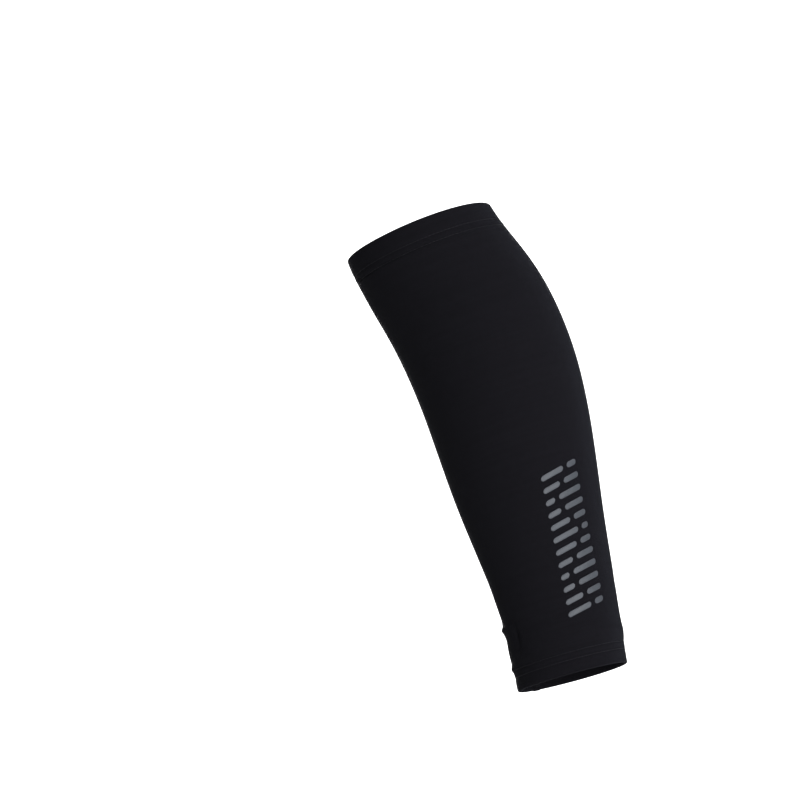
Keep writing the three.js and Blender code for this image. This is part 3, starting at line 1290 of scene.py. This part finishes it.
cad_low, cad_high = cad_box
middle = (cad_low + cad_high) / 2
floor_height = cad_low.z - FLOOR_DROP
square = ((-1, -1), (1, -1), (1, 1), (-1, 1))
floor_corners = np.array([(x * FLOOR_HALF, y * FLOOR_HALF, floor_height) for x, y in square])
floor = new_piece("studio_floor", floor_corners, [[0, 1, 2, 3]])
floor_shader = Shader(bpy.data.materials.new("pale_floor"))
floor_paint = floor_shader.finish(Base_Color=FLOOR_GREY, Roughness=FLOOR_ROUGHNESS)
floor.data.materials.append(floor_paint)
floor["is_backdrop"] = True

# %% Lamps
# name, place from the sleeve's middle, side of the square lamp, power in watts
LAMPS = (
    ("high_lamp", (2.0, -1.6, 1.2), 1.6, 48.0),
    ("low_lamp", (1.1, -2.5, -0.35), 1.2, 106.0),
    ("ankle_lamp", (0.0, -0.8, -0.6), 0.5, 1.0),
    ("outer_lamp", (-0.1, 3.0, 1.0), 2.0, 115.0),
    ("shin_lamp", (-1.3, 2.4, 0.8), 1.4, 10.0),
)

for name, place, size, power in LAMPS:
    data = bpy.data.lights.new(name, "AREA")
    data.shape = "SQUARE"
    data.size = size
    data.energy = power
    lamp = add_object(name, data)
    lamp.location = middle + Vector(place)
    lamp.rotation_mode = "QUATERNION"
    lamp.rotation_quaternion = (middle - lamp.location).to_track_quat("-Z", "Y")
    lamp.visible_camera = False

# %% Surround
ALL_ROUND = 0.07
OVERHEAD = 0.80
EXPOSURE = 0.80
CONTRAST = 0.76

studio = Shader(bpy.data.worlds.new("white_studio"))
direction = studio.add("ShaderNodeTexCoord", {}, {}, "Generated")
upwards_part = studio.add("ShaderNodeSeparateXYZ", {}, {0: direction}, "Z")
glow = upwards_part.clamped() ** 2 * OVERHEAD + ALL_ROUND
seen = studio.add("ShaderNodeLightPath", {}, {}, "Is Camera Ray")
white = {"Color": (1, 1, 1, 1), "Strength": glow * (1 - seen) + seen}
surround = studio.add("ShaderNodeBackground", {}, white)
studio.maker.add("ShaderNodeOutputWorld", sockets={"Surface": surround.socket})
bpy.context.scene.world = studio.owner

# A contrasty picture, as a camera gives it: brighter whites and deeper blacks
view = bpy.context.scene.view_settings
view.view_transform = "Standard"
view.exposure = EXPOSURE
view.gamma = CONTRAST
print(f"floor {FLOOR_DROP} m below the sleeve, {len(bpy.data.lights)} lamps")

# %% [markdown]
# ## Camera
# The photograph looks at the leg's inner side from a little below its middle, and the leg
# leans. The camera stands three metres away, is aimed so that the sleeve's middle falls where
# the photograph has it, and is turned about its own line of sight.

# %% Camera
IMAGE_SIZE = 800
SENSOR_WIDTH = 36.0
CAMERA_DISTANCE = 3.0
CAMERA_ELEVATION = math.radians(-7.5)
CAMERA_ROLL = math.radians(19.0)
FOCAL_PIXELS = 4440.0
MIDDLE_IN_PHOTO = (509.7, 448.5)

forward = Vector((0, math.cos(CAMERA_ELEVATION), -math.sin(CAMERA_ELEVATION)))
level_right = Vector((1, 0, 0))
level_up = level_right.cross(forward)
right = level_right * math.cos(CAMERA_ROLL) - level_up * math.sin(CAMERA_ROLL)
up = level_right * math.sin(CAMERA_ROLL) + level_up * math.cos(CAMERA_ROLL)
metres_per_pixel = CAMERA_DISTANCE / FOCAL_PIXELS
to_right = (MIDDLE_IN_PHOTO[0] - IMAGE_SIZE / 2) * metres_per_pixel
to_below = (MIDDLE_IN_PHOTO[1] - IMAGE_SIZE / 2) * metres_per_pixel
aim = middle - right * to_right + up * to_below

camera_data = bpy.data.cameras.new("camera")
camera_data.sensor_width = SENSOR_WIDTH
camera_data.lens = FOCAL_PIXELS / IMAGE_SIZE * SENSOR_WIDTH
camera = add_object("camera", camera_data)
camera.location = middle - forward * CAMERA_DISTANCE
look = (aim - camera.location).normalized()
side = look.cross(up).normalized()
over = side.cross(look)
turned = Matrix((side, over, -look)).transposed()
camera.matrix_world = Matrix.Translation(camera.location) @ turned.to_4x4()
bpy.context.scene.camera = camera
print(f"lens {camera_data.lens:.0f} mm, camera at {tuple(round(c, 2) for c in camera.location)}")

# %% [markdown]
# ## The sizes
# The CAD model's box and the finished model's box are both measured and printed. The
# finished model has to stay in the CAD model's box, apart from the little that cloth may
# stand proud.

# %% Sizes
visual_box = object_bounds()
boxes = {"cad": [list(corner) for corner in cad_box], "visual": [list(corner) for corner in visual_box]}
for name, box in boxes.items():
    print(name, "box", [[round(c, 4) for c in corner] for corner in box])
